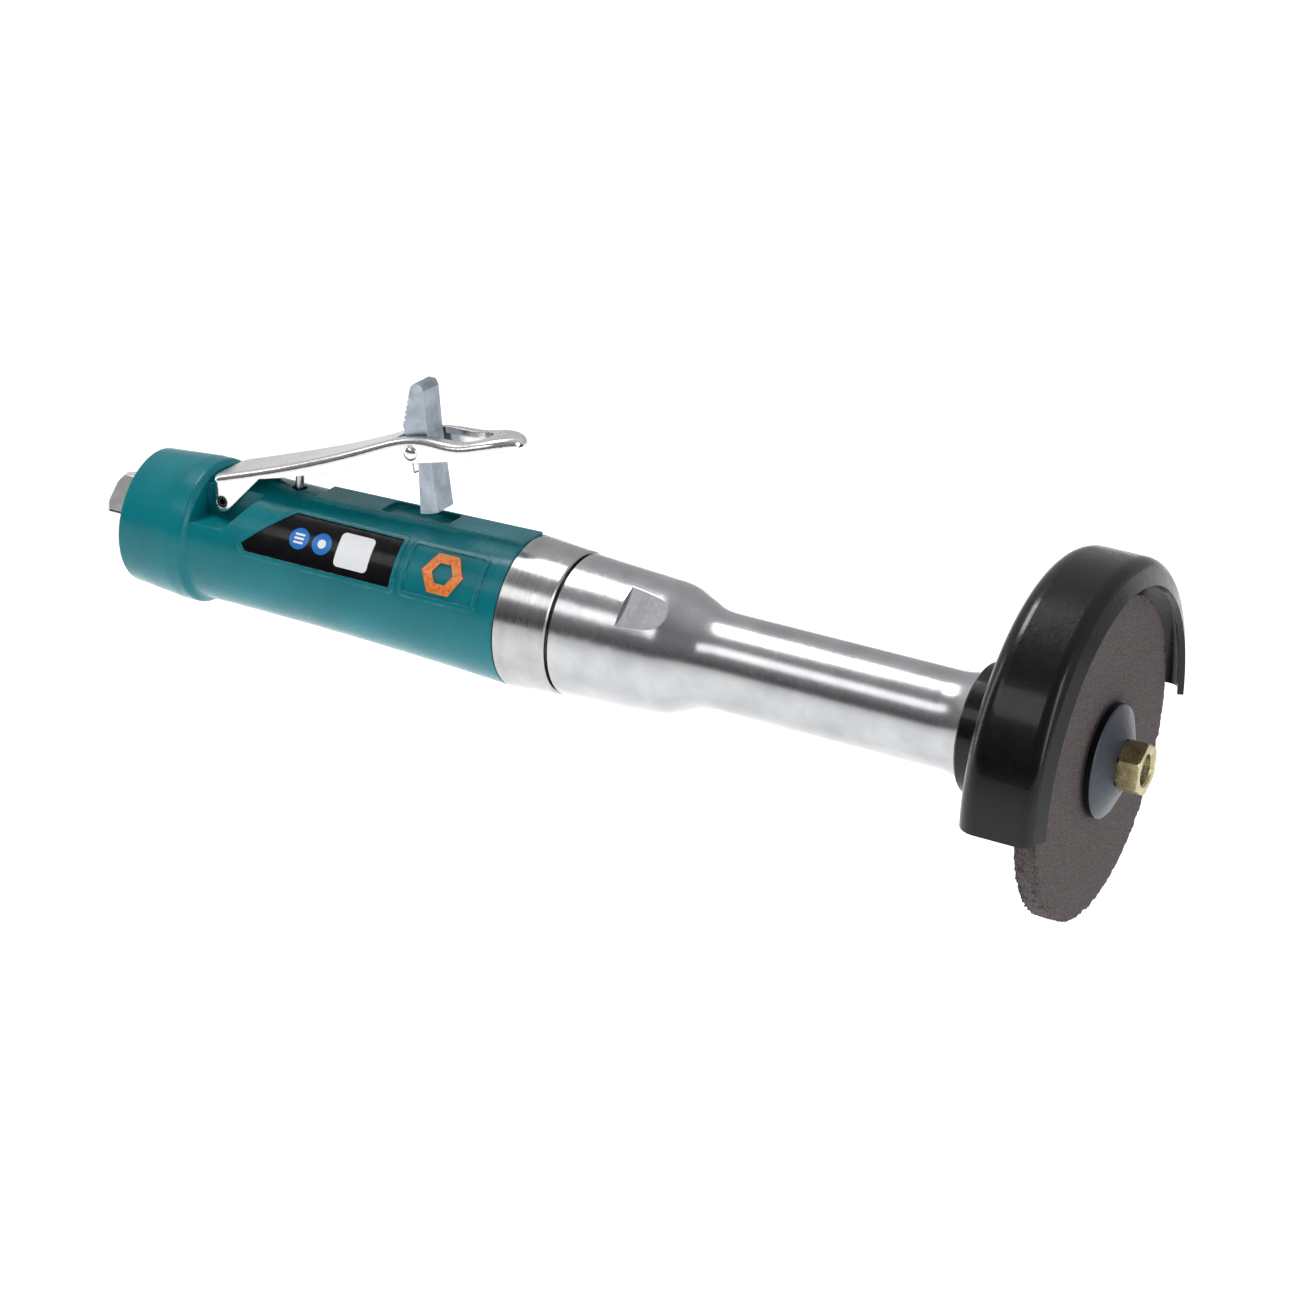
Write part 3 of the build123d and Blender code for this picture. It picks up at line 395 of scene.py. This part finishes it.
# ---------------------------------------------------------------- other finishes
def abrasive():
    """Bonded abrasive: dark resin packed with grains, some glassy, over a faint glass-cloth weave."""
    graph = Graph("abrasive")
    grain = graph.spread(graph.cells(0.62), 0.1, 0.8)
    cloud = graph.spread(graph.noise(2.4, detail=6, roughness=0.7), 0.35, 0.65)
    body = graph.mix(grain, srgb(108, 97, 95), srgb(50, 45, 46))
    graph.colour(graph.mix(graph.math("MULTIPLY", cloud, 0.55), body, srgb(64, 58, 59)))
    glassy = graph.spread(graph.cells(1.1), 0.12, 0.06)
    graph.roughness(graph.spread(glassy, 0, 1, 0.86, 0.35))
    fine = graph.math("ADD", grain, graph.noise(0.3, detail=3))
    graph.relief(graph.math("ADD", fine, graph.noise(1.6, detail=2)), 0.16)
    return graph.material


def soft_finish(name, dark, light, roughness, grain, depth, sheen=0.0):
    """Rubber, felt, paper or moulded composite: clouded tone over a grain."""
    graph = Graph(name, sheen_weight=sheen)
    fine = graph.noise(grain, detail=5, roughness=0.65)
    graph.colour(graph.mix(graph.spread(fine, 0.35, 0.65), dark, light))
    graph.roughness(graph.spread(graph.noise(grain * 6), 0.3, 0.7, *roughness))
    graph.relief(fine, depth)
    return graph.material


def make_finishes():
    """One material for each slot that the record names."""
    made = [
        teal_paint(), label_black(), emblem_orange(), black_coat(), nickel(), blue_oxide(), yellow_zinc(),
        abrasive(),
        grained_metal("zinc_cast", srgb(142, 152, 162), srgb(176, 186, 196), (0.3, 0.5),
                      grain=0.5, depth=0.02),
        turned_metal("turned_steel", srgb(154, 154, 156), srgb(196, 195, 194), (0.16, 0.3)),
        grained_metal("satin_steel", srgb(170, 171, 173), srgb(190, 191, 192), (0.16, 0.28),
                      grain=0.35, depth=0.008, patch=14.0),
        grained_metal("dark_steel", srgb(44, 45, 48), srgb(70, 71, 74), (0.28, 0.46), depth=0.01),
        turned_metal("bearing_steel", srgb(190, 191, 193), srgb(220, 221, 223), (0.08, 0.18), depth=0.002),
        grained_metal("bearing_brass", srgb(176, 140, 70), srgb(206, 172, 96), (0.22, 0.36)),
        turned_metal("cast_iron", srgb(92, 93, 95), srgb(122, 123, 125), (0.34, 0.5), line=0.5, depth=0.01),
        turned_metal("aluminium", srgb(180, 182, 186), srgb(208, 210, 214), (0.24, 0.38)),
        soft_finish("rubber", srgb(22, 22, 23), srgb(34, 34, 36), (0.5, 0.66), 0.3, 0.01),
        soft_finish("felt", srgb(122, 120, 112), srgb(166, 163, 154), (0.85, 0.95), 0.5, 0.2, sheen=0.4),
        soft_finish("paper", srgb(46, 44, 44), srgb(70, 67, 66), (0.8, 0.92), 0.25, 0.03),
        soft_finish("composite", srgb(96, 62, 34), srgb(128, 86, 50), (0.4, 0.55), 0.4, 0.015),
    ]
    return {material.name.split(".")[0]: material for material in made}


FINISHES = make_finishes()


def dress_nodes():
    """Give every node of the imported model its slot's finish."""
    for part in frame["record"]["subparts"]:
        mesh_object = frame["nodes"][part["node"]]
        mesh_object.data.materials.clear()
        mesh_object.data.materials.append(FINISHES[part["material_slot"]])


# ---------------------------------------------------------------- mesh pieces
def mesh_piece(name, points, faces, material, body):
    """A smooth-shaded piece that rides on a body."""
    mesh = bpy.data.meshes.new(name)
    mesh.from_pydata(points, [], faces)
    mesh.materials.append(material)
    mesh.polygons.foreach_set("use_smooth", [True] * len(faces))
    mesh.validate()
    piece = bpy.data.objects.new(name, mesh)
    bpy.context.scene.collection.objects.link(piece)
    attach(piece, body)
    return piece


def steps(start, end, size):
    """Evenly spaced values from start up to, and not including, end, about this far apart."""
    count = max(1, round(abs(end - start) / size))
    return [start + (end - start) * step / count for step in range(count)]


def lathe(outline, segments, shape):
    """Points and faces of a closed (x, radius) outline turned about the axis, sunk in by shape's depth."""
    points = []
    for index, (x, radius) in enumerate(outline):
        before = Vector(outline[index - 1])
        after = Vector(outline[(index + 1) % len(outline)])
        along = (after - before).normalized()
        inward = Vector((along.y, -along.x))
        for segment in range(segments):
            angle = 2 * math.pi * segment / segments
            depth = shape(Vector((x, radius * math.cos(angle), radius * math.sin(angle))), radius)
            turned = radius + inward.y * depth
            points.append((x + inward.x * depth, turned * math.cos(angle), turned * math.sin(angle)))
    faces = []
    for ring in range(len(outline)):
        here = ring * segments
        there = (ring + 1) % len(outline) * segments
        for segment in range(segments):
            beside = (segment + 1) % segments
            faces.append((here + segment, here + beside, there + beside, there + segment))
    return points, faces


def rough_wheel():
    """The bonded wheel: grains stand out on both faces, and the rim is pitted and chipped."""
    low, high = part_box("cutoff_wheel")
    rim = high.y
    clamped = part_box("outer_flange")[1].y - 0.4 * MM
    outline = ([(low.x, radius) for radius in (ARBOR_RADIUS, *steps(clamped, rim, GRAIN_STEP))]
               + [(x, rim) for x in steps(low.x, high.x, GRAIN_STEP)]
               + [(high.x, radius) for radius in (*steps(rim, clamped, GRAIN_STEP), ARBOR_RADIUS)])

    def surface(point, radius):
        if radius <= clamped:
            return 0.0
        grain = 0.5 + 0.5 * noise.noise(point / (1.3 * MM))
        lump = 0.5 + 0.5 * noise.noise(point / (4.5 * MM))
        to_corner = max(rim - radius, min(point.x - low.x, high.x - point.x))
        ragged = max(0.0, 1.0 - to_corner / (2.6 * MM))
        at_rim = 1.0 if rim - radius < GRAIN_STEP / 2 else 0.0
        pit = max(0.0, noise.noise(point / (2.1 * MM) + Vector((7, 3, 1))) - 0.12)
        return MM * (0.16 * grain + 0.1 * lump + 0.5 * ragged * grain + at_rim * (0.35 * grain + 1.5 * pit)
                     + ragged * 1.1 * pit)

    points, faces = lathe(outline, WHEEL_SEGMENTS, surface)
    wheel = mesh_piece("wheel_grit", points, faces, FINISHES["abrasive"], "drive")
    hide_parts("cutoff_wheel")


def helix_ridge(name, x0, length, pitch, root, height, body, material):
    """A thread's crest line: a ridge that winds along the bore, standing in from the root radius."""
    count = int(length / pitch * THREAD_SEGMENTS)
    points = []
    for step in range(count + 1):
        turned = 2 * math.pi * step / THREAD_SEGMENTS
        x = x0 + pitch * step / THREAD_SEGMENTS
        taper = min(1.0, step / THREAD_SEGMENTS, (count - step) / THREAD_SEGMENTS)
        for offset, stands in ((-0.46, 0.0), (-0.08, 1.0), (0.08, 1.0), (0.46, 0.0)):
            radius = root - height * taper * stands
            points.append((x + offset * pitch, radius * math.cos(turned), radius * math.sin(turned)))
    faces = []
    for step in range(count):
        for side in range(3):
            corner = 4 * step + side
            faces.append((corner, corner + 1, corner + 5, corner + 4))
    return mesh_piece(name, points, faces, material, body)


# ---------------------------------------------------------------- stage, light and camera
def plain_floor():
    """A wide pale floor, well below the tool."""
    mesh = bpy.data.meshes.new("floor")
    square = ((-1, -1), (1, -1), (1, 1), (-1, 1))
    corners = [(x * FLOOR_REACH, y * FLOOR_REACH, -FLOOR_DROP) for x, y in square]
    mesh.from_pydata(corners, [], [(0, 1, 2, 3)])
    graph = Graph("floor_paint", roughness=0.9)
    shade = graph.mix(graph.noise(300), (0.93, 0.93, 0.93, 1.0), (0.96, 0.96, 0.96, 1.0))
    graph.colour(shade)
    graph.feed(graph.surface.inputs["Emission Color"], shade)
    graph.surface.inputs["Emission Strength"].default_value = FLOOR_GLOW
    mesh.materials.append(graph.material)
    floor = bpy.data.objects.new("floor", mesh)
    bpy.context.scene.collection.objects.link(floor)


def world_math(tree, operation, first, second):
    """A math node in the world's tree, between a node's output and a number or another output."""
    made = tree.nodes.new("ShaderNodeMath")
    made.operation = operation
    tree.links.new(first, made.inputs[0])
    if isinstance(second, bpy.types.NodeSocket):
        tree.links.new(second, made.inputs[1])
    else:
        made.inputs[1].default_value = second
    return made.outputs[0]


def surroundings():
    """A soft tent: dark at the front horizon and brighter overhead and behind, so that metal shows bands."""
    world = bpy.data.worlds.new("studio")
    world.use_nodes = True
    tree = world.node_tree
    direction = tree.nodes.new("ShaderNodeTexCoord")
    parts = tree.nodes.new("ShaderNodeSeparateXYZ")
    tree.links.new(direction.outputs["Generated"], parts.inputs[0])
    forward = world_math(tree, "MULTIPLY", parts.outputs["Y"], -1.0)
    turned = world_math(tree, "ARCTAN2", parts.outputs["Z"], forward)
    share = world_math(tree, "DIVIDE", turned, math.pi)
    ramp = tree.nodes.new("ShaderNodeValToRGB")
    tree.links.new(share, ramp.inputs["Fac"])
    while len(ramp.color_ramp.elements) < len(TENT_BANDS):
        ramp.color_ramp.elements.new(0.5)
    for element, (position, value) in zip(ramp.color_ramp.elements, TENT_BANDS):
        element.position = position
        element.color = (value, value, value * TENT_COOLNESS, 1.0)
    background = tree.nodes["Background"]
    tree.links.new(ramp.outputs["Color"], background.inputs["Color"])
    background.inputs["Strength"].default_value = 1.0
    bpy.context.scene.world = world


def softbox(name, direction, distance, width, height, watts):
    """A soft rectangular lamp that faces the middle of the tool."""
    middle = (Vector(cad_box[0]) + Vector(cad_box[1])) / 2
    lamp = bpy.data.lights.new(name, "AREA")
    lamp.shape = "RECTANGLE"
    lamp.size = width
    lamp.size_y = height
    lamp.energy = watts
    holder = bpy.data.objects.new(name, lamp)
    holder.location = middle + Vector(direction).normalized() * distance
    holder.rotation_euler = Vector(direction).to_track_quat("Z", "Y").to_euler()
    bpy.context.scene.collection.objects.link(holder)


def photo_camera():
    """The camera, turned about the point that it looks at."""
    back = Vector((math.cos(CAMERA_ELEVATION) * math.sin(CAMERA_AZIMUTH),
                   -math.cos(CAMERA_ELEVATION) * math.cos(CAMERA_AZIMUTH), math.sin(CAMERA_ELEVATION)))
    level = Matrix.Rotation(CAMERA_AZIMUTH, 4, "Z") @ Matrix.Rotation(math.pi / 2 - CAMERA_ELEVATION, 4, "X")
    lens = bpy.data.cameras.new("camera")
    lens.lens = CAMERA_LENS
    lens.sensor_width = CAMERA_SENSOR
    camera = bpy.data.objects.new("camera", lens)
    camera.matrix_world = (Matrix.Translation(CAMERA_AIM + back * CAMERA_DISTANCE) @ level
                           @ Matrix.Rotation(CAMERA_ROLL, 4, "Z"))
    bpy.context.scene.collection.objects.link(camera)
    bpy.context.scene.camera = camera


photo_camera()
plain_floor()
surroundings()
for lamp_settings in LAMPS:
    softbox(*lamp_settings)
bpy.context.scene.view_settings.view_transform = "Standard"

dress_nodes()
rough_wheel()
helix_ridge("inlet_thread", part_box("inlet_bushing")[0].x + INLET_THREAD_START, INLET_THREAD_LENGTH,
            INLET_THREAD_PITCH, INLET_THREAD_RADIUS, INLET_THREAD_HEIGHT, "housing", FINISHES["nickel"])
